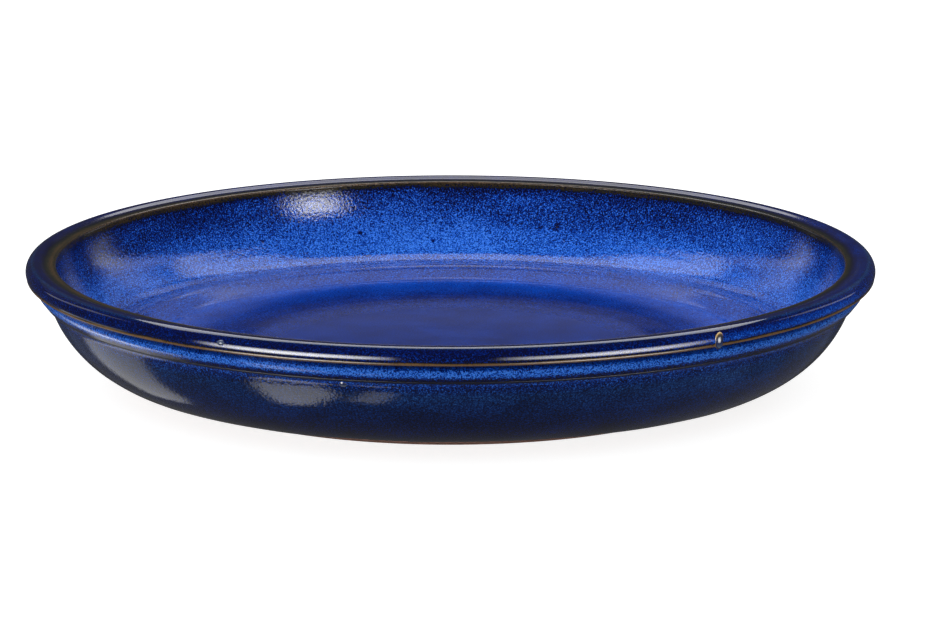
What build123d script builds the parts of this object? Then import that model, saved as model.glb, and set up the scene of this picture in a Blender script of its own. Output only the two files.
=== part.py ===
from build123d import *
import os

# A round, shallow stoneware saucer that catches the water under a plant pot.
# It is one fired piece: a clay body with a running glaze melted on to it.
# The form is one half section, radius along X and height along Y, spun about +Z.
# The origin is the centre of the foot, on the surface that the saucer stands on.
# Lengths are millimetres, taken over the glaze, and angles are degrees.
# An inset is measured in from the widest radius, and a drop down from the crown.

# Overall form
widest_radius = 175.0
overall_height = 52.5

# Rolled rim: the roll over its crown, and the two edges where the glaze breaks
roll_radius = 4.4
inner_break_inset = 12.4
inner_break_drop = 1.3
roll_break_inset = 3.8
roll_break_drop = 7.7

# Groove under the roll, and the bead below it: its crest, the turn where its slope starts,
# and its lower edge
groove_inset = 5.3
groove_drop = 9.1
bead_inset = 4.5
bead_drop = 10.8
bead_turn_inset = 5.0
bead_turn_drop = 12.2
bead_break_inset = 7.5
bead_break_drop = 15.4

# Outer wall, from under the bead to the foot
wall_top_inset = 10.2
wall_top_drop = 18.1
wall_curve = 48.0
heel_inset = 41.5
heel_height = 5.0
foot_inset = 60.5

# Well, from the flat floor up the cove to the rim
floor_height = 14.0
floor_inset = 51.0
cove_top_inset = 25.0
cove_top_height = 26.0

# Ridge left by the thrower's finger at the edge of the floor
ridge_inset = 54.5
ridge_width = 3.2
ridge_height = 0.4

# Shallow recess turned in the underside, inside the foot
foot_width = 13.0
recess_depth = 2.0
recess_slope = 3.0

# Glaze coat, the bare clay line at each break, and the thick rolled end above the foot
glaze_thickness = 0.8
break_width = 1.2
break_depth = 2.6
glaze_end_inset = 36.0
glaze_roll_radius = 1.0

# Drops of glaze that stand out of the coat: the radius of the drop's ball, how far it stands
# out, and its bearing, anticlockwise from +X. The run is a drop drawn out over the groove.
face_drop_radius = 2.0
face_drop_rise = 0.7
face_drop_bearing = 239.3
wall_drop_radius = 2.2
wall_drop_rise = 0.6
wall_drop_bearing = 255.4
run_radius = 1.8
run_rise = 0.7
run_bearing = 306.8
run_start_share = 0.1
run_end_share = 0.6


def below_crown(inset, drop):
    """A point of the section, placed from the widest radius and the crown."""
    return Vector(widest_radius - inset, overall_height - drop)


def above_foot(inset, height):
    """A point of the section, placed from the widest radius and the foot."""
    return Vector(widest_radius - inset, height)


crown = below_crown(roll_radius, 0)
widest = below_crown(0, roll_radius)
inner_break = below_crown(inner_break_inset, inner_break_drop)
roll_break = below_crown(roll_break_inset, roll_break_drop)
groove = below_crown(groove_inset, groove_drop)
bead_crest = below_crown(bead_inset, bead_drop)
bead_turn = below_crown(bead_turn_inset, bead_turn_drop)
bead_break = below_crown(bead_break_inset, bead_break_drop)
wall_top = below_crown(wall_top_inset, wall_top_drop)
heel = above_foot(heel_inset, heel_height)
foot_edge = above_foot(foot_inset, -glaze_thickness)
floor_edge = above_foot(floor_inset, floor_height)
cove_top = above_foot(cove_top_inset, cove_top_height)

# The edges of the section, in order from the floor over the rim and down to the foot
cove = TangentArc(floor_edge, cove_top, tangent=Vector(1, 0))
inner_wall = TangentArc(cove_top, inner_break, tangent=cove % 1)
rim_face = TangentArc(crown, inner_break, tangent=Vector(-1, 0))
roll_top = TangentArc(crown, widest, tangent=Vector(1, 0))
roll_side = TangentArc(widest, roll_break, tangent=Vector(0, -1))
under_roll = Line(roll_break, groove)
bead_face = TangentArc(bead_crest, groove, tangent=Vector(0, 1))
bead_round = TangentArc(bead_crest, bead_turn, tangent=Vector(0, -1))
bead_slope = Line(bead_turn, bead_break)
outer_wall = RadiusArc(wall_top, heel, wall_curve)
under_bead = TangentArc(wall_top, bead_break, tangent=outer_wall % 0 * -1)
heel_curve = TangentArc(heel, foot_edge, tangent=outer_wall % 1)


def away(edge, point):
    """The direction in which an edge leaves one of its ends."""
    starts_here = (edge @ 0 - point).length < (edge @ 1 - point).length
    return edge % 0 if starts_here else edge % 1 * -1


def right_side():
    """The side of the section plane that is spun, above and below the table."""
    return Pos(widest_radius, 0) * Rectangle(widest_radius * 2, overall_height * 4)


def strip_at(point, direction, width, depth):
    """A strip across a point, as wide as asked, reaching a depth each way along a direction."""
    turn = Vector(1, 0).get_signed_angle(direction, Vector(0, 0, 1))
    return Pos(point.X, point.Y) * Rot(0, 0, turn) * Rectangle(depth * 2, width)


def glazed_section():
    """The half section over the glaze, drawn one glaze thickness past the axis and the table."""
    past_axis = -glaze_thickness
    outline = [
        Line((past_axis, floor_height), floor_edge),
        cove,
        inner_wall,
        rim_face,
        roll_top,
        roll_side,
        under_roll,
        bead_face,
        bead_round,
        bead_slope,
        under_bead,
        outer_wall,
        heel_curve,
        Line(foot_edge, (past_axis, -glaze_thickness)),
        Line((past_axis, -glaze_thickness), (past_axis, floor_height)),
    ]
    ridge_radius = widest_radius - ridge_inset
    ridge_start = Vector(ridge_radius - ridge_width / 2, floor_height)
    ridge_top = Vector(ridge_radius, floor_height + ridge_height)
    ridge_end = Vector(ridge_radius + ridge_width / 2, floor_height)
    ridge = [ThreePointArc(ridge_start, ridge_top, ridge_end), Line(ridge_end, ridge_start)]
    return make_face(outline) + make_face(ridge)


def clay_edge(section, point, one, other):
    """The strip of clay that comes through the glaze where two edges meet."""
    inward = away(one, point) + away(other, point)
    return section & strip_at(point, inward, break_width, break_depth)


def recess_section():
    """Half of the recess in the underside, with its sloping side."""
    mouth = widest_radius - foot_inset - foot_width
    outline = Polyline(
        (0, -glaze_thickness),
        (mouth, -glaze_thickness),
        (mouth, 0),
        (mouth - recess_slope, recess_depth),
        (0, recess_depth),
        close=True,
    )
    return make_face(outline)


def clay_section(section):
    """The clay under the glaze, with the edges that come through at the three breaks."""
    core = offset(section, -glaze_thickness)
    core = core + clay_edge(section, inner_break, inner_wall, rim_face)
    core = core + clay_edge(section, roll_break, roll_side, under_roll)
    core = core + clay_edge(section, bead_break, bead_slope, under_bead)
    return core - recess_section()


def wall_point(radius):
    """The share of the way down the outer wall at which it stands at a radius."""
    upright = Line((radius, 0), (radius, overall_height))
    return outer_wall.param_at_point(outer_wall.intersect(upright).vertices()[0].center())


def glaze_fields(section, clay):
    """The four fields of the glaze coat, by name. Below the rolled end the clay is bare."""
    end_share = wall_point(widest_radius - glaze_end_inset)
    end = outer_wall @ end_share
    across = (outer_wall % end_share).rotate(Axis.Z, 90)
    coat = (section & right_side()) - clay
    coat = coat - strip_at(end, across, glaze_thickness, glaze_thickness * 2)
    patches = coat.faces()

    def field_at(point):
        place = Vertex(point.X, point.Y, 0)
        return Sketch() + min(patches, key=lambda patch: patch.distance_to(place))

    rolled_end = Pos(end.X, end.Y) * Circle(glaze_roll_radius)
    return {
        "glaze_well": field_at(floor_edge),
        "glaze_lip": field_at(crown),
        "glaze_cove": field_at(bead_crest),
        "glaze_wall": field_at(wall_top) + rolled_end - clay,
    }


def spin(section):
    """The solid that a half section makes about the saucer's axis."""
    return revolve(Plane.XZ * section, Axis.Z)


def ball_under(point, outward, radius, rise, bearing):
    """A ball whose cap stands out of the section at a point, turned to a bearing."""
    centre = point - outward.normalized() * (radius - rise)
    return Rot(0, 0, bearing) * Pos(centre.X, 0, centre.Y) * Sphere(radius)


def glaze_drops(section):
    """The two round drops and the run, cut to sit on the coat."""
    face_drop = ball_under(
        widest, Vector(1, 0), face_drop_radius, face_drop_rise, face_drop_bearing
    )
    wall_normal = (outer_wall % 0).rotate(Axis.Z, 90)
    wall_drop = ball_under(wall_top, wall_normal, wall_drop_radius, wall_drop_rise, wall_drop_bearing)
    run_start = roll_side @ run_start_share
    run_end = bead_face @ (1 - run_end_share)
    run_out = (run_end - run_start).rotate(Axis.Z, 90)
    first = ball_under(run_start, run_out, run_radius, run_rise, run_bearing)
    last = ball_under(run_end, run_out, run_radius, run_rise, run_bearing)
    reach = last.center() - first.center()
    between = Plane(origin=first.center() + reach / 2, z_dir=reach) * Cylinder(run_radius, reach.length)
    run = first + between + last
    whole = spin(section & right_side())
    return Part() + [drop - whole for drop in (face_drop, wall_drop, run)]


section = glazed_section()
clay = clay_section(section)
nodes = {"clay_body": spin(clay)}
for name, field in glaze_fields(section, clay).items():
    nodes[name] = spin(field)
nodes["glaze_drops"] = glaze_drops(section)

os.makedirs("parts", exist_ok=True)
for name, solid in nodes.items():
    export_step(solid, f"parts/{name}.step")
    print(name, len(solid.solids()), "solid, volume", round(solid.volume, 1))
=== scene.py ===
import math

import bpy
import numpy as np
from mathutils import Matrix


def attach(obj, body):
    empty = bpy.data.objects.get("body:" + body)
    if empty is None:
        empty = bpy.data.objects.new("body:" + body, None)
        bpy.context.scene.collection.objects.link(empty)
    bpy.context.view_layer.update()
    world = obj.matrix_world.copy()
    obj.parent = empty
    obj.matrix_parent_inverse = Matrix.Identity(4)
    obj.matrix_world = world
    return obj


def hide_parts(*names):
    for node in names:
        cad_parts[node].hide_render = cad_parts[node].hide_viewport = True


# A round stoneware plant saucer under a running cobalt glaze, as it stands in the photograph.
# Lengths are metres in the frame of the CAD model: +Z up, origin at the centre of the foot.
# The camera looks along +Y. A bearing is an angle about +Z, anticlockwise from +X.

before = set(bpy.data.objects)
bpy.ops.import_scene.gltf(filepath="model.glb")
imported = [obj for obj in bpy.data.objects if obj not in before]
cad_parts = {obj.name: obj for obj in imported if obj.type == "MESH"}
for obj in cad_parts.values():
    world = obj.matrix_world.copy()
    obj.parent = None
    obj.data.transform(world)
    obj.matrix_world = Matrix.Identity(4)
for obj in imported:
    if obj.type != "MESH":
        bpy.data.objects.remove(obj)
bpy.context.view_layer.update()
bpy.context.scene.view_settings.view_transform = "Standard"

# The half section over the glaze: (radius, height) of its points, floor to foot
FLOOR_HEIGHT = 0.014
FLOOR_EDGE = (0.124, FLOOR_HEIGHT)
COVE_TOP = (0.150, 0.026)
INNER_BREAK = (0.1626, 0.0512)
CROWN = (0.1706, 0.0525)
WIDEST = (0.175, 0.0481)
ROLL_BREAK = (0.1712, 0.0448)
GROOVE = (0.1697, 0.0434)
BEAD_CREST = (0.1705, 0.0417)
BEAD_TURN = (0.1700, 0.0403)
BEAD_BREAK = (0.1675, 0.0371)
WALL_TOP = (0.1648, 0.0344)
HEEL = (0.1335, 0.0050)
FOOT_EDGE = (0.1145, -0.0008)
WALL_CURVE = 0.048

# The floor that shows rises a little to its edge. The cove and the rim's face are given by their
# slopes, as (millimetres along from the start, degrees). The cove starts as a low step and a
# shallow cone, flattens into a ring and bends tightly up its steep side. The face is nearly
# level inside the crown, drops in a short step and then flattens.
RAISED_FLOOR_EDGE = (0.1235, 0.0150)
FLOOR_RISE_POWER = 4
COVE_SLOPES = [
    (0.0, 0), (0.5, 11), (1.9, 11), (2.4, 26.5), (3.4, 26.5), (4.2, 19.5), (11.3, 19.5),
    (11.7, 16), (12.2, 16), (12.7, 28), (14.2, 28), (14.8, 2.5), (19.2, 2.5), (20.0, 19.7),
    (24.2, 37.3), (25.0, 44), (25.8, 49), (29.9, 50),
]
FACE_SLOPES = [(0.0, 0), (1.5, 3), (2.0, 24), (3.0, 24), (3.8, 5), (8.0, 3)]

# The bare ring that it stands on and the recess inside it: (radius, height), from the outside in
FOOT_AND_RECESS = [
    (0.1144, 0.0), (0.1135, 0.0), (0.108, 0.0), (0.1018, 0.0), (0.1015, 0.0001),
    (0.0985, 0.002), (0.07, 0.002), (0.035, 0.002), (0.001, 0.002),
]
LOWEST_HEEL = 0.0001

# The CAD circle's facets lie a little inside the true circle, and so do the meshes
FACET_TRIM = 0.9997

# How finely the outline is worked out, and how round glass leaves its corners
OUTLINE_STEP = 0.00005
CORNER_ROUNDING = 0.0003

# Coat of glaze, the bare lines where it breaks, its end over the foot and how far that wanders.
# The photograph has the roll's break higher than CAD does, and a tan line higher still.
COAT = 0.0008
BREAK_HALF = 0.0006
GLAZE_END_RADIUS = 0.139
END_DRIFT = 0.0009
END_DRIFT_REACH = 12
ROLL_BREAK_RAISED = 0.0016
TAN_LINE_RAISED = 0.0034

# The tan line on the roll stands up as a fine ridge
RIDGE_HEIGHT = 0.00036
RIDGE_HALF = 0.00055

# A field's rounded edge, as (distance in from its end, depth)
EDGE = [(0.00010, 0.0), (0.00003, 0.00004), (0.0, 0.00012), (0.0, 0.00040)]
EDGE_CLEAR = 0.00015
STRIP_CLEAR = 0.00001

# Steps between the rings of the meshes, and how many segments go round
FLOOR_STEP = 0.0026
WALL_STEP = 0.0007
RIM_STEP = 0.0003
RIDGE_STEP = 0.00012
HIDDEN_STEP = 0.004
COVERED_STEP = 0.0012
COVERED_REACH = 0.003
INNERMOST = 0.001
SMALLEST_GAP = 1e-6
SEGMENTS = 640

# Small marks: (bearing in degrees, metres along the inner wall from the cove's top, radius)
PINHOLES = [
    (72.6, 0.0098, 0.0011),
    (75.2, 0.0090, 0.0007),
    (104.8, 0.0066, 0.0010),
    (92.9, 0.0016, 0.0007),
    (71.0, 0.0040, 0.0004),
    (122.0, 0.0064, 0.0005),
]
PINHOLE_DEPTH = 0.0003
PINHOLE_REACH = 2.2
PINHOLE_SEGMENTS = 9
PINHOLE_DARKENING = 0.6
SMALLEST_TURN = 0.0004

# Random waves: (seed, most waves in a turn, pitch along the section, height)
ROUND_RINGS = (11, 0, 0.006, 0.00003)
SWINGING_RINGS = (12, 2, 0.011, 0.00004)
LUMPS = (13, 26, 0.02, 0.00003)
END_WAVES = (21, 24, 1.0, END_DRIFT)
BREAK_WAVES = (31, 40, 1.0, 0.00025)
CLOUDS = (32, 9, 0.03, 1)
STREAKS = (33, 30, 0.012, 1)

# How thick the glaze looks along the section, 0 where the clay shows through and 1 where it
# pools: at each named place, (millimetres past it, value)
COAT_STOPS = {
    "floor": [(0, 0.53), (86, 0.54), (100, 0.56), (112, 0.63)],
    "cove": [(0, 0.71), (4, 0.68), (12, 0.67), (20, 0.70), (25.5, 0.82)],
    "inner_wall": [(-2, 0.86), (6, 0.82), (16, 0.68)],
    "inner_break": [
        (-6, 0.60), (-3.4, 0.50), (-2, 0.24), (-1, 0.17), (0, 0.16),
        (0.9, 0.17), (1.8, 0.24), (3.6, 0.34), (5.4, 0.42)],
    "roll_top": [(1, 0.42), (1.8, 0.50), (2.6, 0.42)],
    "roll_side": [(0, 0.42)],
    # Below the tan line the coat darkens to olive at the roll's break: partly the thin glaze's own colour,
    # partly painted shade of the groove under the roll.
    "tan_line": [(-1.2, 0.40), (-0.7, 0.06), (-0.3, 0.00), (0.3, 0.03), (0.8, 0.14), (1.3, 0.24)],
    "roll_break": [(0, 0.27), (1, 0.28), (1.6, 0.38)],
    "bead_face": [(-0.2, 0.62), (1.2, 0.91)],
    "bead_slope": [(0.2, 0.91), (1.2, 0.56), (2, 0.38)],
    "bead_break": [
        (-0.7, 0.33), (-0.5, 0.48), (0.5, 0.48), (0.9, 0.36), (1.3, 0.64), (2.4, 0.64), (3.6, 0.50)],
    "wall": [(4, 0.51), (16, 0.47), (30, 0.44)],
    "glaze_end": [(0, 0.38)],
}

# The other fields that the materials read, in the same form: how strongly the speckle shows, how
# rough the surface feels, how blurred its gloss is, and how green its blue
FIELD_STOPS = {
    "grain": {
        "floor": [(0, 0.22)],
        "cove": [(0, 0.26)],
        "inner_wall": [(-4, 0.70)],
        "inner_break": [(-3, 0.80), (0, 0.16)],
        "roll_top": [(0, 0.12)],
        "roll_side": [(0, 0.45)],
        "tan_line": [(-1.2, 0.45), (-0.4, 0.10)],
        "roll_break": [(0, 0.12)],
        "bead_face": [(0, 0.95)],
        "bead_slope": [(1, 0.85)],
        "bead_break": [(0, 0.12), (1.4, 0.85)],
        "wall": [(3.5, 0.36)],
        "glaze_end": [(0, 0.22)],
    },
    "texture": {
        "floor": [(0, 0.12)],
        "cove": [(0, 0.15), (19.5, 0.20), (22.5, 0.8)],
        "inner_wall": [(-4, 0.8)],
        "inner_break": [(-4, 0.8), (0, 0.15)],
        "roll_break": [(0, 0.15)],
        "bead_face": [(0, 0.5)],
        "bead_break": [(0, 0.3)],
        "wall": [(0, 0.5)],
        "glaze_end": [(0, 0.3)],
    },
    "matte": {
        "floor": [(0, 0.30)],
        "cove": [(-40, 0.27), (-37.5, 0.12), (0, 0.11)],
        "inner_wall": [(0, 0.10)],
        "inner_break": [(0, 0.10), (1, 0.12)],
        "roll_top": [(-2, 0.10), (-1, 0.05), (4, 0.05)],
        "roll_side": [(0, 0.10)],
        "roll_break": [(0, 0.12)],
        "glaze_end": [(0, 0.08)],
    },
    "teal": {
        "floor": [(0, 0.0)],
        "roll_top": [(0.6, 0.0), (1.4, 0.9), (2.2, 0.9), (3.0, 0.0)],
        "bead_break": [(2.6, 0.0)],
        "wall": [(4, 0.85), (16, 0.5), (30, 0.15)],
        "glaze_end": [(0, 0.0)],
    },
}
FIELDS = ("coat", *FIELD_STOPS)

# Where a zone is drawn darker or lighter on one side, by a shift of its coat: (zone, bearing,
# half width, amount). The darkening of the upper inner wall at bearing 146 is painted shade where
# the wall turns from the light; the lightening of the lip at bearing 325 is partly a thicker coat
# and partly painted light.
COAT_AND_SHADE_SIDES = [
    # painted shade on the upper inner wall, where it turns from the light
    ("upper", 146, 32, -0.16),
    ("upper", 56, 26, -0.08),
    ("inside", 180, 60, -0.07),
    ("outer", 315, 40, 0.05),
    # partly a thicker coat, partly painted light on the lip at bearing 325
    ("lip", 325, 48, 0.30),
    ("face", 0, 70, 0.09),
    ("face", 120, 50, 0.06),
    ("olive", 190, 70, -0.12),
    ("inner_line", 190, 60, 0.07),
    ("inner_line", 30, 70, 0.07),
]

# Clouds and streaks in a zone's coat: (zone, waves, amount)
COAT_WAVES = [
    ("inside", CLOUDS, 0.06),
    ("upper", STREAKS, 0.06),
    ("outer", STREAKS, 0.03),
    ("outer", CLOUDS, 0.02),
    ("lip", STREAKS, 0.05),
]
INSIDE_THINNER = 0.02
INNER_LINE = (0.0008, 0.0020)

# On the clay, grain says where it shows as glassy brown, and matte is one of these
BARE_ROUGHNESS = 0.75
BROWN_ROUGHNESS = 0.15
BEAD_LINE_ROUGHNESS = 0.35
BEAD_LINE_REACH = 0.001

# Drops that stand out of the coat: (named place, millimetres past it, ball radius, rise, how far
# it is stretched down the section, bearing, tone in the middle, at the edge, and added downwards).
# High tones are pale grey, painted light seen through the clear glass, and the tone added
# downwards paints the lower side paler with it.
DROPS = {
    "face_drop": ("roll_side", -1.4, 0.0024, 0.0007, 0.6, 239.3, 0.72, 0.45, 0.0),
    "wall_drop": ("wall", -0.8, 0.0024, 0.0006, 0.9, 255.4, 0.7, 0.7, 0.45),
    "run_drop": ("roll_side", 0.2, 0.0025, 0.0010, 1.6, 306.8, 0.56, 0.05, 0.2),
}
DROP_BURIED = 0.0003
DROP_RINGS = 18
DROP_SEGMENTS = 64
DROP_TIP_TURN = 0.02
DROP_EDGE_FROM = 0.7


def arc(start, heading, end, count=90):
    """Points of the arc that leaves start along a heading and ends at end, and its last heading."""
    chord = np.array(end) - start
    half_turn = (math.atan2(chord[1], chord[0]) - heading + math.pi) % (2 * math.pi) - math.pi
    shares = np.linspace(0, 1, count)
    reach = math.hypot(*chord) * np.sin(half_turn * shares) / math.sin(half_turn)
    angles = heading + half_turn * shares
    return start + reach[:, None] * np.stack([np.cos(angles), np.sin(angles)], 1), heading + 2 * half_turn


def sloped(start, end, slopes, count=900):
    """Points from start to end that follow a table of slopes, all made steeper or flatter to fit."""
    reach = np.linspace(0, slopes[-1][0], count)
    table = np.interp(reach, *zip(*slopes))
    rise = abs((end[1] - start[1]) / (end[0] - start[0]))
    low, high = 0.2, 5.0
    for _ in range(50):
        factor = (low + high) / 2
        angles = np.radians(table * factor)
        if np.sin(angles).sum() / np.cos(angles).sum() > rise:
            high = factor
        else:
            low = factor
    across = np.cumsum(np.cos(angles))
    up = np.cumsum(np.sin(angles))
    shares = np.stack([across / across[-1], up / up[-1]], 1)
    return start + shares * (np.array(end) - start)


def line(start, end, count=90):
    """Points of a straight edge."""
    return np.linspace(start, end, count)


def outline_edges():
    """The edges of the section, in order from the middle of the floor over the rim to the foot."""
    cove_heading = arc(FLOOR_EDGE, 0, COVE_TOP)[1]
    chord = np.array(HEEL) - WALL_TOP
    wall_heading = math.atan2(chord[1], chord[0]) + math.asin(math.hypot(*chord) / 2 / WALL_CURVE)
    wall, heel_heading = arc(WALL_TOP, wall_heading, HEEL)
    share = np.linspace(0, 1, 900)
    rise = (RAISED_FLOOR_EDGE[1] - FLOOR_HEIGHT) * share**FLOOR_RISE_POWER
    return {
        "floor": np.stack([RAISED_FLOOR_EDGE[0] * share, FLOOR_HEIGHT + rise], 1),
        "cove": sloped(RAISED_FLOOR_EDGE, COVE_TOP, COVE_SLOPES),
        "inner_wall": arc(COVE_TOP, cove_heading, INNER_BREAK)[0],
        "face": sloped(CROWN, INNER_BREAK, FACE_SLOPES)[::-1],
        "roll_top": arc(CROWN, 0, WIDEST)[0],
        "roll_side": arc(WIDEST, -math.pi / 2, ROLL_BREAK)[0],
        "under_roll": line(ROLL_BREAK, GROOVE),
        "bead_face": arc(BEAD_CREST, math.pi / 2, GROOVE)[0][::-1],
        "bead_round": arc(BEAD_CREST, -math.pi / 2, BEAD_TURN)[0],
        "bead_slope": line(BEAD_TURN, BEAD_BREAK),
        "under_bead": arc(WALL_TOP, wall_heading + math.pi, BEAD_BREAK)[0][::-1],
        "wall": wall,
        "heel": arc(HEEL, heel_heading, FOOT_EDGE)[0],
    }


def rounded(points):
    """An outline with its corners rounded."""
    reach = int(4 * CORNER_ROUNDING / OUTLINE_STEP)
    weights = np.exp(-0.5 * (np.arange(-reach, reach + 1) * OUTLINE_STEP / CORNER_ROUNDING) ** 2)
    weights /= weights.sum()
    before = 2 * points[0] - points[reach:0:-1]
    after = 2 * points[-1] - points[-2:-reach - 2:-1]
    padded = np.concatenate([before, points, after])
    return np.stack([np.convolve(padded[:, k], weights, "valid") for k in (0, 1)], 1)


class Section:
    """The outline that is spun: points evenly spaced along it, and the place where each edge starts."""

    def __init__(self, edges):
        self.start = {}
        self.length = 0
        for name, points in edges.items():
            self.start[name] = self.length
            self.length += np.hypot(*np.diff(points, axis=0).T).sum()
        points = np.concatenate(list(edges.values()))
        along = np.concatenate([[0], np.cumsum(np.hypot(*np.diff(points, axis=0).T))])
        self.along = np.arange(0, self.length, OUTLINE_STEP)
        even = np.stack([np.interp(self.along, along, points[:, k]) for k in (0, 1)], 1)
        self.points = rounded(even) * [FACET_TRIM, 1]
        heading = np.gradient(self.points, axis=0)
        heading /= np.hypot(*heading.T)[:, None]
        self.normals = np.stack([-heading[:, 1], heading[:, 0]], 1)

    def at(self, along, depth=0):
        """Radius and height at places along the outline, at a depth under the surface."""
        radius, height = (np.interp(along, self.along, self.points[:, k]) for k in (0, 1))
        out_r, out_z = (np.interp(along, self.along, self.normals[:, k]) for k in (0, 1))
        return radius - out_r * depth, height - out_z * depth

    def find_radius(self, radius):
        """The place along the outer wall where it stands at a radius."""
        on_wall = self.along > self.start["wall"]
        return np.interp(-radius, -self.points[on_wall, 0], self.along[on_wall])


section = Section(outline_edges())
place = dict(section.start)
place["inner_break"] = place["face"]
place["roll_break"] = place["under_roll"] - ROLL_BREAK_RAISED
place["bead_break"] = place["under_bead"]
place["tan_line"] = place["under_roll"] - TAN_LINE_RAISED
place["glaze_end"] = section.find_radius(GLAZE_END_RADIUS)
BREAKS = [place[name] for name in ("inner_break", "roll_break", "bead_break")]


def spot(name, past=0):
    """The place some millimetres past a named one."""
    return place[name] + past / 1000


def between(stops, along):
    """The value at places along the section, from stops at the named ones."""
    places = [spot(name, past) for name, pairs in stops.items() for past, _ in pairs]
    values = [value for pairs in stops.values() for _, value in pairs]
    return np.interp(along, places, values)


def smooth(low, high, value):
    """0 below low, 1 above high, and a smooth step between them."""
    share = np.clip((value - low) / (high - low), 0, 1)
    return share * share * (3 - 2 * share)


def rising(start, end, along):
    """0 before one spot, 1 past another and smooth between. A spot is (name, millimetres past it)."""
    return smooth(spot(*start), spot(*end), along)


def near_bearing(bearing, centre, width):
    """1 at a bearing in degrees, falling smoothly to 0 at a width either side."""
    away = np.abs((np.degrees(bearing) - centre + 180) % 360 - 180)
    return 1 - smooth(0, width, away)


def waves(kind, bearing, along, count=14):
    """A smooth random field that runs to about its height up and down."""
    seed, turns, pitch, height = kind
    draw = np.random.default_rng(seed)
    total = np.zeros(np.broadcast(bearing, along).shape)
    for _ in range(count):
        round_waves = draw.integers(-turns, turns + 1)
        along_waves = draw.uniform(-1, 1) / pitch
        phase = draw.uniform(0, 2 * math.pi)
        total += np.cos(round_waves * bearing + 2 * math.pi * along_waves * along + phase)
    return total / math.sqrt(count / 2) / 2 * height


def all_bearings():
    """The bearings of the meshes' segments, closer together at the pinholes."""
    bearings = list(np.arange(SEGMENTS) * 2 * math.pi / SEGMENTS)
    for bearing, _, radius in PINHOLES:
        half = PINHOLE_REACH * radius / COVE_TOP[0]
        bearings += list(math.radians(bearing) + np.linspace(-half, half, PINHOLE_SEGMENTS))
    bearings = np.sort(np.array(bearings) % (2 * math.pi))
    gaps = np.diff(np.append(bearings, bearings[0] + 2 * math.pi))
    return bearings[gaps > SMALLEST_TURN]


BEARINGS = all_bearings()


def pinholes(along, bearing):
    """1 in the middle of a pinhole, falling to 0 round it."""
    holes = 0
    for centre, up, radius in PINHOLES:
        across = ((bearing - math.radians(centre) + math.pi) % (2 * math.pi) - math.pi) * COVE_TOP[0]
        away = np.hypot(across, along - place["inner_wall"] - up)
        holes = holes + np.exp(-((away / radius) ** 2))
    return holes


def relief(along, bearing):
    """How far the surface stands out of the spun section: throwing rings, lumps, ridge and pinholes."""
    inside = 1 - rising(("inner_wall", 0), ("inner_break", 0), along)
    outward = rising(("floor", 30), ("floor", 110), along)
    rings = waves(ROUND_RINGS, bearing, along) + waves(SWINGING_RINGS, bearing, along) * outward
    on_inner_wall = rising(("inner_wall", 0), ("inner_wall", 10), along) * inside
    on_outer_wall = rising(("wall", 0), ("wall", 10), along)
    lumps = waves(LUMPS, bearing, along) * (on_inner_wall + on_outer_wall)
    ridge = np.exp(-(((along - place["tan_line"]) / RIDGE_HALF) ** 2)) * RIDGE_HEIGHT
    return rings * inside + lumps + ridge - pinholes(along, bearing) * PINHOLE_DEPTH


def zones(along):
    """How fully each place lies in each zone of the section, from 0 to 1."""
    inside = rising(("cove", 0), ("inner_wall", 0), along)
    inside = inside * (1 - rising(("inner_break", -4), ("inner_break", 0), along))
    over_tan_line = 1 - rising(("tan_line", -1.8), ("tan_line", -0.9), along)
    lip = rising(("roll_top", 3), ("roll_side", 0), along) * over_tan_line
    olive = rising(("inner_break", 0), ("inner_break", 2), along)
    return {
        "inside": inside,
        "upper": rising(("inner_wall", 4), ("inner_break", -6), along) * inside,
        "outer": rising(("bead_break", 3), ("bead_break", 6), along),
        "lip": lip,
        "face": rising(("inner_break", 1.5), ("inner_break", 4.5), along) * (1 - lip) * over_tan_line,
        "olive": olive * (1 - rising(("inner_break", 4), ("inner_break", 7), along)),
        "inner_line": 1 - smooth(*INNER_LINE, np.abs(along - place["inner_break"])),
    }


def coat_field(along, bearing):
    """How thick the glaze looks at each place and bearing, with painted shade on one side of the upper
    inner wall and partly painted light on one side of the lip.
    """
    zone = zones(along)
    coat = between(COAT_STOPS, along + waves(BREAK_WAVES, bearing, 0))
    coat = coat - INSIDE_THINNER * zone["inside"] - PINHOLE_DARKENING * pinholes(along, bearing)
    for name, kind, amount in COAT_WAVES:
        coat = coat + zone[name] * amount * waves(kind, bearing, along)
    # shifts by side, among them painted shade and painted light
    for name, centre, width, amount in COAT_AND_SHADE_SIDES:
        coat = coat + zone[name] * amount * near_bearing(bearing, centre, width)
    return np.clip(coat, 0, 1)


def spun(rows, drifting=False):
    """Sweeps rows of (place, depth) round all bearings: the points, and the fields at each one.
    Where it drifts, the end of the glaze wanders up and down, as it ran."""
    places, depths = np.array(rows).T[:, :, None]
    along = places + 0 * BEARINGS
    if drifting:
        reach = rising(("glaze_end", -END_DRIFT_REACH), ("glaze_end", 0), along)
        along = along + waves(END_WAVES, BEARINGS, 0) * reach
    radius, height = section.at(along, depths - relief(along, BEARINGS))
    points = np.stack([radius * np.cos(BEARINGS), radius * np.sin(BEARINGS), height], 2)
    fields = [coat_field(along, BEARINGS)] + [between(stops, along) for stops in FIELD_STOPS.values()]
    return points, np.stack(fields, 2)


def fan(tip, ring):
    """Triangles from one point to a ring of points."""
    return np.stack([np.full(len(ring), tip), ring, np.roll(ring, -1)], 1).tolist()


pieces = {}


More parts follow.
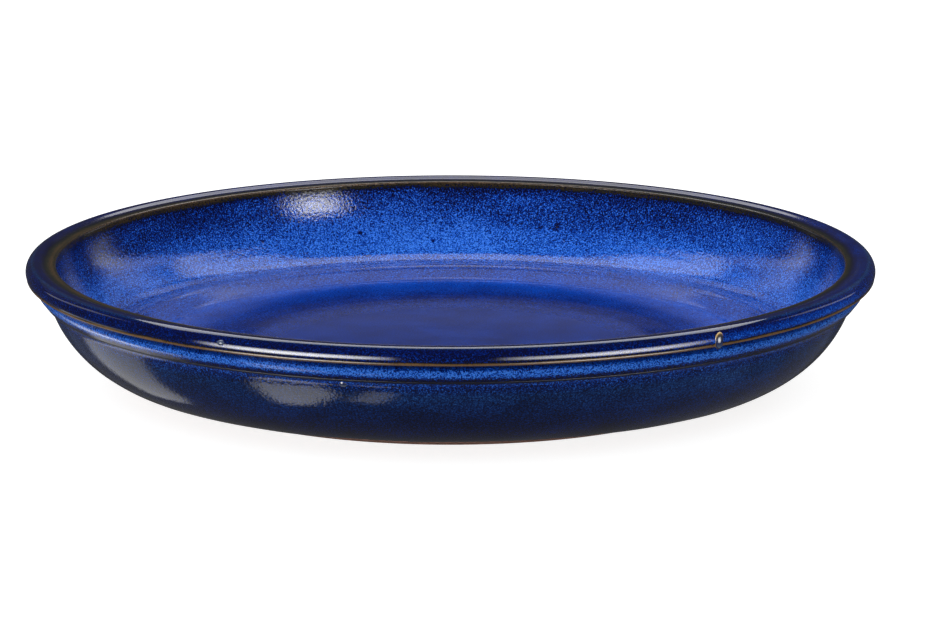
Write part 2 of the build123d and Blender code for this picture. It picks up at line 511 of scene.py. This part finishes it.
def make_piece(name, points, fields, material, looped=False):
    """Makes a closed piece of rows of points. If it is looped, the last row joins the first, and
    otherwise a fan closes each end."""
    rows, count = points.shape[:2]
    row = np.arange(rows if looped else rows - 1)[:, None] * count
    after = (row + count) % (rows * count)
    here = np.arange(count)
    beside = (here + 1) % count
    faces = np.stack([row + here, after + here, after + beside, row + beside], 2).reshape(-1, 4).tolist()
    vertices = points.reshape(-1, 3)
    values = fields.reshape(-1, len(FIELDS))
    if not looped:
        tip = len(vertices)
        faces += fan(tip, here) + fan(tip + 1, here[::-1] + (rows - 1) * count)
        vertices = np.vstack([vertices, points[0].mean(axis=0), points[-1].mean(axis=0)])
        values = np.vstack([values, fields[0, 0], fields[-1, 0]])
    mesh = bpy.data.meshes.new(name)
    mesh.from_pydata(vertices.tolist(), [], faces)
    mesh.polygons.foreach_set("use_smooth", np.ones(len(faces), bool))
    for k, field in enumerate(FIELDS):
        attribute = mesh.attributes.new(field, "FLOAT", "POINT")
        attribute.data.foreach_set("value", values[:, k].astype(np.float32))
    mesh.materials.append(material)
    piece = bpy.data.objects.new(name, mesh)
    bpy.context.scene.collection.objects.link(piece)
    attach(piece, "root")
    pieces[name] = piece
    return piece


def steps(first, last, step):
    """Evenly spaced places from first to last, about a step apart."""
    return list(np.linspace(first, last, max(2, int(round((last - first) / step)) + 1)))


def visible_places(first, last):
    """The places of the rings that show, closest together on the ridge and close on the rim."""
    spans = [
        (spot("floor"), FLOOR_STEP),
        (spot("cove"), WALL_STEP),
        (spot("inner_break", -3), RIM_STEP),
        (spot("tan_line", -1.2), RIDGE_STEP),
        (spot("tan_line", 1.2), RIM_STEP),
        (spot("wall", 2), WALL_STEP),
    ]
    ends = [start for start, _ in spans[1:]] + [section.length]
    places = []
    for (start, step), end in zip(spans, ends):
        low = max(start, first)
        high = min(end, last)
        if high > low:
            places += steps(low, high, step)
    places = np.unique(places)
    return places[np.append(True, np.diff(places) > SMALLEST_GAP)]


def field_rows(first, last):
    """The rows of a glaze field's shell: its face, its end, its hidden side and its start."""
    low = first + EDGE_CLEAR
    high = last - EDGE_CLEAR
    shown = [p for p in visible_places(first, last) if p == 0 or low < p < high]
    rows = [(max(p, INNERMOST), 0.0) for p in shown]
    rows += [(last - inset, depth) for inset, depth in EDGE]
    rows += [(p, COAT) for p in steps(max(first, INNERMOST), last, HIDDEN_STEP)[::-1]]
    if first > 0:
        rows += [(first + inset, depth) for inset, depth in EDGE[::-1]]
    return rows


def glaze_fields():
    """The four fields of the coat. The one that covers the floor is closed at the axis."""
    inner_break, roll_break, bead_break = BREAKS
    spans = {
        "glaze_well": (0.0, inner_break - BREAK_HALF),
        "glaze_lip": (inner_break + BREAK_HALF, roll_break - BREAK_HALF),
        "glaze_cove": (roll_break + BREAK_HALF, bead_break - BREAK_HALF),
        "glaze_wall": (bead_break + BREAK_HALF, place["glaze_end"]),
    }
    for name, (first, last) in spans.items():
        points, fields = spun(field_rows(first, last), drifting=name == "glaze_wall")
        piece = make_piece(name, points, fields, glaze, looped=first > 0)
        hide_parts(name)


def clay_rows():
    """The rows of the clay down to the foot: under the coat, flush with it at the breaks, then bare."""
    bare_from = place["glaze_end"] - COVERED_REACH
    covered = steps(INNERMOST, bare_from, COVERED_STEP)
    rows = [(p, COAT) for p in covered if min(abs(p - edge) for edge in BREAKS) > BREAK_HALF]
    for p in visible_places(0.0, section.length - EDGE[-1][1]):
        nearest = min(abs(p - edge) for edge in BREAKS)
        if nearest < BREAK_HALF:
            rows.append((p, 0.0))
        elif nearest > BREAK_HALF and (nearest < 2 * BREAK_HALF or p > bare_from):
            rows.append((p, COAT))
    for edge in BREAKS:
        for side in (-1, 1):
            rows += [(edge + side * (BREAK_HALF - inset), depth) for inset, depth in EDGE]
            rows.append((edge + side * (BREAK_HALF + STRIP_CLEAR), COAT))
    return sorted(rows, key=lambda row: row[0])


def clay_body():
    """The clay: bare from the glaze's end to the recess, and brown where it shows at the breaks."""
    rows = clay_rows()
    points, fields = spun(rows)
    for k, (p, depth) in enumerate(rows):
        shows = depth < COAT and p < place["wall"]
        at_bead = abs(p - place["bead_break"]) < BEAD_LINE_REACH
        fields[k, :, FIELDS.index("grain")] = shows
        roughness = BEAD_LINE_ROUGHNESS if at_bead else BROWN_ROUGHNESS
        fields[k, :, FIELDS.index("matte")] = roughness if shows else BARE_ROUGHNESS
    inside = np.arange(len(rows)) < len(rows) // 2
    over_foot = inside | (points[:, 0, 2] > LOWEST_HEEL)
    radius, height = np.array(FOOT_AND_RECESS).T[:, :, None]
    under = np.stack([radius * np.cos(BEARINGS), radius * np.sin(BEARINGS), height + 0 * BEARINGS], 2)
    points = np.concatenate([points[over_foot], under])
    fields = np.concatenate([fields[over_foot], np.zeros(under.shape[:2] + (len(FIELDS),))])
    piece = make_piece("clay_body", points, fields, clay)
    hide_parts("clay_body")


def drop(name, start, past, radius, rise, stretch, bearing, middle_tone, edge_tone, painted_light_below):
    """A low dome of glaze on the coat: the part of a ball that stands out of it, stretched along."""
    along = spot(start, past)
    out = section.normals[np.argmin(np.abs(section.along - along))]
    down = np.array([out[1], -out[0]])
    centre = np.array(section.at(along)) - out * (radius - rise)
    widest_turn = math.acos((radius - rise - DROP_BURIED) / radius)
    turns = np.linspace(DROP_TIP_TURN, widest_turn, DROP_RINGS)[:, None]
    around = np.linspace(0, 2 * math.pi, DROP_SEGMENTS, endpoint=False)
    lift = radius * np.cos(turns) + 0 * around
    lower = stretch * radius * np.sin(turns) * np.cos(around)
    across = radius * np.sin(turns) * np.sin(around)
    r = centre[0] + out[0] * lift + down[0] * lower
    z = centre[1] + out[1] * lift + down[1] * lower
    turn = math.radians(bearing)
    points = np.stack([
        r * math.cos(turn) - across * math.sin(turn),
        r * math.sin(turn) + across * math.cos(turn),
        z], 2)
    tone = middle_tone + (edge_tone - middle_tone) * smooth(DROP_EDGE_FROM, 1.0, turns / widest_turn)
    # Paler downwards: painted light gathered in the lower side of the glass
    tone = np.clip(tone + painted_light_below * lower / radius, 0, 1)
    fields = np.stack([tone] + [0 * tone] * len(FIELD_STOPS), 2)
    piece = make_piece(name, points, fields, bead_glass)
    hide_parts("glaze_drops")


def node(tree, kind, **inputs):
    """Adds a shader node. Names that are inputs set them, and other names are the node's settings."""
    made = tree.nodes.new(kind)
    for name, value in inputs.items():
        label = name.replace("_", " ")
        socket = next((s for s in made.inputs if s.name.lower() == label), None)
        if socket is not None:
            socket.default_value = value
        else:
            setattr(made, name, value)
    return made


def math_node(tree, operation, first, second, clamp=False):
    """A sum or product of two values, either of which may be another node's output."""
    made = node(tree, "ShaderNodeMath", operation=operation, use_clamp=clamp)
    for socket, value in zip(made.inputs, (first, second)):
        if isinstance(value, (int, float)):
            socket.default_value = value
        else:
            tree.links.new(value, socket)
    return made.outputs[0]


def field(tree, name):
    """The value of one of the mesh's fields."""
    return node(tree, "ShaderNodeAttribute", attribute_name=name).outputs["Fac"]


def noise(tree, scale, detail, roughness):
    """Noise that stays with the object."""
    made = node(tree, "ShaderNodeTexNoise", scale=scale, detail=detail, roughness=roughness)
    tree.links.new(tree.nodes.new("ShaderNodeTexCoord").outputs["Object"], made.inputs["Vector"])
    return made.outputs[0]


def srgb(red, green, blue):
    """A colour as it is seen on a screen, 0 to 255, as the shader takes it."""
    values = [c / 255 for c in (red, green, blue)]
    return [c / 12.92 if c <= 0.04045 else ((c + 0.055) / 1.055) ** 2.4 for c in values] + [1]


def ramp(tree, stops, value):
    """The colour for a value, from (position, colour) stops."""
    made = tree.nodes.new("ShaderNodeValToRGB")
    elements = made.color_ramp.elements
    for element, (position, colour) in zip(elements, (stops[0], stops[-1])):
        element.position = position
        element.color = colour
    for position, colour in stops[1:-1]:
        elements.new(position).color = colour
    tree.links.new(value, made.inputs[0])
    return made.outputs[0]


def mixed(tree, share, first, second):
    """One colour that goes over into another by a share."""
    made = node(tree, "ShaderNodeMix", data_type="RGBA")
    tree.links.new(share, made.inputs["Factor"])
    tree.links.new(first, made.inputs[6])
    tree.links.new(second, made.inputs[7])
    return made.outputs[2]


def bumped(tree, shader, height, strength, distance):
    """Gives a shader a fine relief."""
    bump = node(tree, "ShaderNodeBump", strength=strength, distance=distance)
    tree.links.new(height, bump.inputs["Height"])
    tree.links.new(bump.outputs[0], shader.inputs["Normal"])


def blank_material(name):
    """A new material, its node tree and its shader."""
    material = bpy.data.materials.new(name)
    material.use_nodes = True
    tree = material.node_tree
    return material, tree, tree.nodes["Principled BSDF"]


GLASS_IOR = 1.5

# The glaze's colours by how thick it looks, and the same where it turns teal
GLAZE_COLOURS = [
    (0.00, srgb(128, 98, 68)),
    (0.06, srgb(104, 78, 50)),
    (0.14, srgb(72, 55, 34)),
    (0.22, srgb(38, 38, 26)),
    (0.30, srgb(9, 13, 26)),
    (0.40, srgb(4, 8, 58)),
    (0.50, srgb(3, 21, 87)),
    (0.60, srgb(3, 43, 130)),
    (0.70, srgb(5, 62, 168)),
    (0.80, srgb(11, 80, 196)),
    (0.90, srgb(28, 104, 232)),
    (1.00, srgb(68, 140, 250)),
]
TEAL_COLOURS = [
    (0.00, srgb(96, 78, 60)),
    (0.20, srgb(24, 26, 24)),
    (0.30, srgb(6, 14, 34)),
    (0.42, srgb(8, 28, 66)),
    (0.55, srgb(14, 46, 96)),
    (0.75, srgb(34, 84, 150)),
    (1.00, srgb(90, 150, 210)),
]

# Speckle and clouds in the glaze: scales of the noise, its strength, and a floor under which
# speckle alone doesn't darken the glaze. The two noises of the speckle average 0.75 together.
SPECK_SCALE = 1500
FINE_SCALE = 3200
FINE_SHARE = 0.5
SPECKLE_MIDDLE = 0.75
SPECKLE = 2.9
SPECKLE_FLOOR = 0.34
CLOUD_SCALE = 60
CLOUD_STRENGTH = 0.22

# Orange peel in the gloss, and the very shallow dish that the floor's gloss shows
PEEL_SCALE = 800
PEEL_HEIGHT = 0.0001
DISH = 0.60
DISH_RADIUS = 0.123
GLAZE_SPECULAR = 0.45


def glaze_thickness(tree):
    """How thick the glaze looks with its speckle and clouds."""
    coat = field(tree, "coat")
    fine = math_node(tree, "MULTIPLY", noise(tree, FINE_SCALE, detail=1.0, roughness=0.5), FINE_SHARE)
    speckle = math_node(tree, "ADD", noise(tree, SPECK_SCALE, detail=2.0, roughness=0.6), fine)
    speckle = math_node(tree, "SUBTRACT", speckle, SPECKLE_MIDDLE)
    strength = math_node(tree, "MULTIPLY", field(tree, "grain"), SPECKLE)
    speckle = math_node(tree, "MULTIPLY", speckle, strength)
    clouds = math_node(tree, "SUBTRACT", noise(tree, CLOUD_SCALE, detail=4.0, roughness=0.6), 0.5)
    clouds = math_node(tree, "MULTIPLY", clouds, CLOUD_STRENGTH)
    total = math_node(tree, "ADD", coat, math_node(tree, "ADD", speckle, clouds), clamp=True)
    return math_node(tree, "MAXIMUM", total, math_node(tree, "MINIMUM", coat, SPECKLE_FLOOR))


def glaze_relief(tree):
    """The height of the orange peel and of the floor's dish, which falls with the radius squared."""
    peel = noise(tree, PEEL_SCALE, detail=1.5, roughness=0.5)
    peel = math_node(tree, "MULTIPLY", peel, field(tree, "texture"))
    peel = math_node(tree, "MULTIPLY", peel, PEEL_HEIGHT)
    across = node(tree, "ShaderNodeVectorMath", operation="MULTIPLY")
    tree.links.new(tree.nodes.new("ShaderNodeTexCoord").outputs["Object"], across.inputs[0])
    across.inputs[1].default_value = (1, 1, 0)
    length = node(tree, "ShaderNodeVectorMath", operation="LENGTH")
    tree.links.new(across.outputs[0], length.inputs[0])
    radius = length.outputs["Value"]
    dish = math_node(tree, "SUBTRACT", math_node(tree, "MULTIPLY", radius, radius), DISH_RADIUS**2)
    dish = math_node(tree, "MULTIPLY", math_node(tree, "MINIMUM", dish, 0.0), DISH)
    return math_node(tree, "ADD", peel, dish)


def glaze_material():
    """Running cobalt glaze: brown where thin, navy over the body and speckled blue where it pools."""
    material, tree, shader = blank_material("running_cobalt_glaze")
    thickness = glaze_thickness(tree)
    blue = ramp(tree, GLAZE_COLOURS, thickness)
    teal = ramp(tree, TEAL_COLOURS, thickness)
    tree.links.new(mixed(tree, field(tree, "teal"), blue, teal), shader.inputs["Base Color"])
    tree.links.new(field(tree, "matte"), shader.inputs["Roughness"])
    shader.inputs["IOR"].default_value = GLASS_IOR
    shader.inputs["Specular IOR Level"].default_value = GLAZE_SPECULAR
    bumped(tree, shader, glaze_relief(tree), 1.0, 1.0)
    return material


# The drops' colours by tone: tan, navy, and at the high end pale greys that are painted light seen through
# the clear glass
BEAD_COLOURS = [
    (0.00, srgb(226, 196, 140)),
    (0.20, srgb(160, 122, 74)),
    (0.40, srgb(60, 62, 66)),
    (0.60, srgb(30, 44, 92)),
    (0.80, srgb(96, 108, 128)),
    (1.00, srgb(150, 160, 172)),
]
BEAD_ROUGHNESS = 0.06


def bead_material():
    """The clearer glass of the drops: tan or navy by what lies under each part, and pale grey where light
    seen through the glass is painted.
    """
    material, tree, shader = blank_material("clear_glaze_bead")
    tree.links.new(ramp(tree, BEAD_COLOURS, field(tree, "coat")), shader.inputs["Base Color"])
    shader.inputs["Roughness"].default_value = BEAD_ROUGHNESS
    shader.inputs["IOR"].default_value = GLASS_IOR
    return material


BARE_COLOURS = [
    (0.3, srgb(124, 78, 62)),
    (0.5, srgb(170, 112, 92)),
    (0.7, srgb(196, 152, 132)),
]
# The glassy brown at the breaks, by how thick the coat looks. The palest tan, where the coat runs out, is
# partly the clay's own tan and partly a painted highlight.
EDGE_COLOURS = [
    (0.00, srgb(206, 184, 158)),
    (0.06, srgb(150, 120, 88)),
    (0.15, srgb(84, 62, 40)),
    (0.24, srgb(36, 36, 28)),
    (0.33, srgb(12, 16, 34)),
]
GRIT_SCALE = 900
GRIT_HEIGHT = 0.0001
GRIT_STRENGTH = 0.5
EDGE_SPECKLE = 0.35


def clay_material():
    """Bare red stoneware under the foot, and glassy brown where it comes through the glaze. Its palest tan
    is partly a painted highlight, and its dark olive at the roll's break partly painted shade.
    """
    material, tree, shader = blank_material("red_stoneware")
    grit = noise(tree, GRIT_SCALE, detail=3.0, roughness=0.7)
    speckle = math_node(tree, "MULTIPLY", math_node(tree, "SUBTRACT", grit, 0.5), EDGE_SPECKLE)
    dark = math_node(tree, "ADD", field(tree, "coat"), speckle, clamp=True)
    bare = ramp(tree, BARE_COLOURS, grit)
    brown = ramp(tree, EDGE_COLOURS, dark)
    tree.links.new(mixed(tree, field(tree, "grain"), bare, brown), shader.inputs["Base Color"])
    tree.links.new(field(tree, "matte"), shader.inputs["Roughness"])
    bumped(tree, shader, grit, GRIT_STRENGTH, GRIT_HEIGHT)
    return material


# The photograph's camera, fitted to the two outlines of the rim: its elevation in radians, its
# lens and sensor in millimetres, and how far it sees
MIDDLE_HEIGHT = WIDEST[1]
CAMERA_ELEVATION = 0.2095
CAMERA_DISTANCE = 2.45
CAMERA_LENS = 229.9
SENSOR_WIDTH = 36
CAMERA_REACH = 100
SHIFT = (0.0156, -0.0477)

# The floor lies just under the foot. The sky lamp is wide, with its angle and tilt in degrees
FLOOR_REACH = 14
FLOOR_LEVEL = -0.0001
FLOOR_COLOUR = (0.5, 0.5, 0.5, 1)
FLOOR_LIFT = 0.85
WORLD_STRENGTH = 0.05
SKY_STRENGTH = 1.04
SKY_ANGLE = 150
SKY_TILT = (8, -12)


def add_camera():
    """Makes the camera, which looks along +Y and down at the middle of the rim."""
    data = bpy.data.cameras.new("camera")
    data.lens = CAMERA_LENS
    data.sensor_width = SENSOR_WIDTH
    data.shift_x, data.shift_y = SHIFT
    data.clip_end = CAMERA_REACH
    camera = bpy.data.objects.new("camera", data)
    camera.location = (
        0,
        -CAMERA_DISTANCE * math.cos(CAMERA_ELEVATION),
        MIDDLE_HEIGHT + CAMERA_DISTANCE * math.sin(CAMERA_ELEVATION),
    )
    camera.rotation_euler = (math.pi / 2 - CAMERA_ELEVATION, 0, 0)
    bpy.context.scene.collection.objects.link(camera)
    bpy.context.scene.camera = camera


def add_floor():
    """A pale floor. What the camera sees of it is lifted to white, and it keeps the shadow."""
    mesh = bpy.data.meshes.new("floor")
    square = [(-1, -1), (1, -1), (1, 1), (-1, 1)]
    corners = [(x * FLOOR_REACH, y * FLOOR_REACH, FLOOR_LEVEL) for x, y in square]
    mesh.from_pydata(corners, [], [(0, 1, 2, 3)])
    material, tree, shader = blank_material("pale_floor")
    shader.inputs["Base Color"].default_value = FLOOR_COLOUR
    shader.inputs["Roughness"].default_value = 1.0
    shader.inputs["Specular IOR Level"].default_value = 0.0
    shader.inputs["Emission Color"].default_value = (1, 1, 1, 1)
    camera_ray = tree.nodes.new("ShaderNodeLightPath").outputs["Is Camera Ray"]
    tree.links.new(math_node(tree, "MULTIPLY", camera_ray, FLOOR_LIFT), shader.inputs["Emission Strength"])
    mesh.materials.append(material)
    floor = bpy.data.objects.new("floor", mesh)
    floor.visible_glossy = False
    bpy.context.scene.collection.objects.link(floor)


def add_world():
    """A dim white world."""
    world = bpy.data.worlds.new("studio")
    world.use_nodes = True
    background = world.node_tree.nodes["Background"]
    background.inputs["Color"].default_value = (1, 1, 1, 1)
    background.inputs["Strength"].default_value = WORLD_STRENGTH
    bpy.context.scene.world = world


def add_sky():
    """A wide soft lamp from above that lights the colours evenly and shows in no gloss."""
    data = bpy.data.lights.new("soft_sky", "SUN")
    data.angle = math.radians(SKY_ANGLE)
    data.energy = SKY_STRENGTH * math.pi
    lamp = bpy.data.objects.new("soft_sky", data)
    lamp.rotation_euler = (math.radians(SKY_TILT[0]), math.radians(SKY_TILT[1]), 0)
    lamp.visible_glossy = False
    bpy.context.scene.collection.objects.link(lamp)


# Outlines of the level studio panels, as (across, back) for each metre above or below the saucer.
# They lie where the rim, the cove and the outer wall mirror them in the photograph's highlights.
OVERHEAD = [(-0.75, 0.06), (0.75, 0.06), (1.2, 0.42), (1.25, 0.7), (-1.25, 0.7), (-1.2, 0.42)]
RIM_OVERHEAD = [(-0.75, 0.4), (0.75, 0.4), (0.6, 1.1), (0.35, 1.6), (-0.35, 1.6), (-0.6, 1.1)]
RIGHT_ARM = [(1.25, 0.42), (1.7, 0.87), (2.38, 1.69), (4.43, 4.43), (4.0, 4.7), (2.2, 2.0), (1.35, 1.0)]
LEFT_ARM = [(-x, y) for x, y in RIGHT_ARM]
TABLE = [(-2.5, -2), (2.5, -2), (2.5, 2.5), (-2.5, 2.5)]
LEFT_TABLE = [
    (-1.8, 1.9), (-0.97, 1.6), (-0.54, 1.36), (-0.52, 0.97), (-0.6, 0.8), (-0.97, 0.67), (-1.8, 0.45)]
FRONT_TABLE = [(-0.9, -0.27), (-0.5, 0.05), (-0.43, -0.06), (-0.45, -0.4), (-0.62, -0.56)]
NEAR_TABLE = [(-0.37, -0.31), (-0.25, -0.31), (-0.23, -0.6), (-0.36, -0.6)]
RIGHT_TABLE = [(0.85, 0.6), (0.95, 1.05), (1.8, 1.2), (1.8, 0.5)]
CEILING = 1.3
RIM_CEILING = 1.2
TABLE_DEPTH = 4.0
WIDE_TABLE_DEPTH = 4.2

# Groups of pieces that a panel lights
ALL = ()
WELL = ("glaze_well",)
COVE = ("glaze_cove",)
BOWL = ("glaze_well", "glaze_cove", "glaze_wall")
RIM = ("glaze_lip", "clay_body", "face_drop", "run_drop", "wall_drop")

# A soft panel's light fades towards its edges by these powers of the distance from its middle
FADE_POWERS = {"X": 2.0, "Z": 1.6}


def on_ceiling(outline, height):
    """Corners of a level panel at a height over the rim."""
    return [(x * height, y * height, MIDDLE_HEIGHT + height) for x, y in outline]


def under_floor(outline, depth):
    """Corners of a level panel below the floor, which a dark glossy table top would mirror."""
    return [(x * depth, y * depth, -depth) for x, y in outline]


def facing_box(azimuths, elevations, distance):
    """Corners of an upright panel between azimuths from the camera and elevations, in degrees."""
    (left, right), (low, high) = azimuths, elevations
    corners = []
    for azimuth, elevation in ((left, low), (right, low), (right, high), (left, high)):
        turn = math.radians(azimuth)
        up = math.tan(math.radians(elevation))
        height = MIDDLE_HEIGHT + distance * up
        corners.append((distance * math.sin(turn), -distance * math.cos(turn), height))
    return corners


# The panels: (name, corners, radiance, whether soft, whether clear, the pieces that it lights).
# A clear one adds to what is behind it and hides nothing.
PANELS = [
    ("overhead", on_ceiling(OVERHEAD, CEILING), 2.6, False, True, BOWL),
    ("overhead_right", on_ceiling(RIGHT_ARM, CEILING), 1.0, False, False, ALL),
    ("overhead_left", on_ceiling(LEFT_ARM, CEILING), 0.85, False, False, ALL),
    ("back", facing_box((145, 215), (28, 55), 3.0), 0.72, False, True, BOWL),
    ("back_low", facing_box((135, 225), (13, 28), 3.0), 0.25, False, True, BOWL),
    ("back_low_rim", facing_box((135, 225), (13, 28), 2.9), 0.04, False, True, RIM),
    ("streak_right", facing_box((128, 140), (5, 38), 2.8), 0.6, False, True, WELL),
    ("streak_left", facing_box((-143, -130), (5, 38), 2.8), 0.55, False, True, WELL),
    ("overhead_rim", on_ceiling(RIM_OVERHEAD, RIM_CEILING), 3.1, False, True, RIM),
    ("right_box", facing_box((35.5, 57), (18, 39), 1.5), 15.0, True, False, WELL),
    ("left_mirror", facing_box((-67, -13), (-24, 12), 1.5), 25.0, True, True, RIM),
    ("right_mirror", facing_box((11, 70), (-24, 12), 1.5), 17.0, True, True, RIM),
    ("cove_left", facing_box((-60, -38), (-50, 0), 1.6), 3.0, True, True, COVE),
    ("cove_far_left", facing_box((-135, -98), (-50, 0), 1.6), 3.0, True, True, COVE),
    ("table", under_floor(TABLE, WIDE_TABLE_DEPTH), 0.1, False, False, ALL),
    ("left_table", under_floor(LEFT_TABLE, TABLE_DEPTH), 0.85, False, False, ALL),
    ("front_table", under_floor(FRONT_TABLE, TABLE_DEPTH), 2.3, False, False, ALL),
    ("near_table", under_floor(NEAR_TABLE, TABLE_DEPTH), 1.4, False, False, ALL),
    ("right_table", under_floor(RIGHT_TABLE, TABLE_DEPTH), 0.07, False, False, ALL),
]


def glow_material(name, radiance, soft, clear):
    """A panel's light."""
    material = bpy.data.materials.new(name)
    material.use_nodes = True
    tree = material.node_tree
    tree.nodes.clear()
    glow = node(tree, "ShaderNodeEmission", strength=radiance)
    if soft:
        spread = tree.nodes.new("ShaderNodeSeparateXYZ")
        tree.links.new(tree.nodes.new("ShaderNodeTexCoord").outputs["Generated"], spread.inputs[0])
        strength = radiance
        for axis, power in FADE_POWERS.items():
            off = math_node(tree, "SUBTRACT", math_node(tree, "MULTIPLY", spread.outputs[axis], 2.0), 1.0)
            fade = math_node(tree, "POWER", math_node(tree, "ABSOLUTE", off, 0.0), power)
            strength = math_node(tree, "MULTIPLY", math_node(tree, "SUBTRACT", 1.0, fade), strength)
        tree.links.new(strength, glow.inputs["Strength"])
    surface = glow.outputs[0]
    if clear:
        both = tree.nodes.new("ShaderNodeAddShader")
        tree.links.new(surface, both.inputs[0])
        tree.links.new(tree.nodes.new("ShaderNodeBsdfTransparent").outputs[0], both.inputs[1])
        surface = both.outputs[0]
    tree.links.new(surface, tree.nodes.new("ShaderNodeOutputMaterial").inputs["Surface"])
    return material


def add_panel(name, corners, radiance, soft, clear):
    """A lit studio panel that only the gloss shows."""
    mesh = bpy.data.meshes.new(name)
    mesh.from_pydata(corners, [], [tuple(range(len(corners)))])
    mesh.materials.append(glow_material(name, radiance, soft, clear))
    panel = bpy.data.objects.new(name, mesh)
    for kind in ("camera", "diffuse", "transmission", "volume_scatter", "shadow"):
        setattr(panel, "visible_" + kind, False)
    bpy.context.scene.collection.objects.link(panel)
    return panel


def light_only(panel, names):
    """Keeps a panel's light to some of the pieces."""
    receivers = bpy.data.collections.new("lit_by_" + panel.name)
    for name in names:
        receivers.objects.link(pieces[name])
    panel.light_linking.receiver_collection = receivers


add_camera()
add_floor()
add_world()
add_sky()
panels = {name: add_panel(name, *looks) for name, *looks, _ in PANELS}

glaze = glaze_material()
bead_glass = bead_material()
clay = clay_material()
glaze_fields()
clay_body()
for name, sizes in DROPS.items():
    drop(name, *sizes)

for name, *_, lit in PANELS:
    if lit:
        light_only(panels[name], lit)
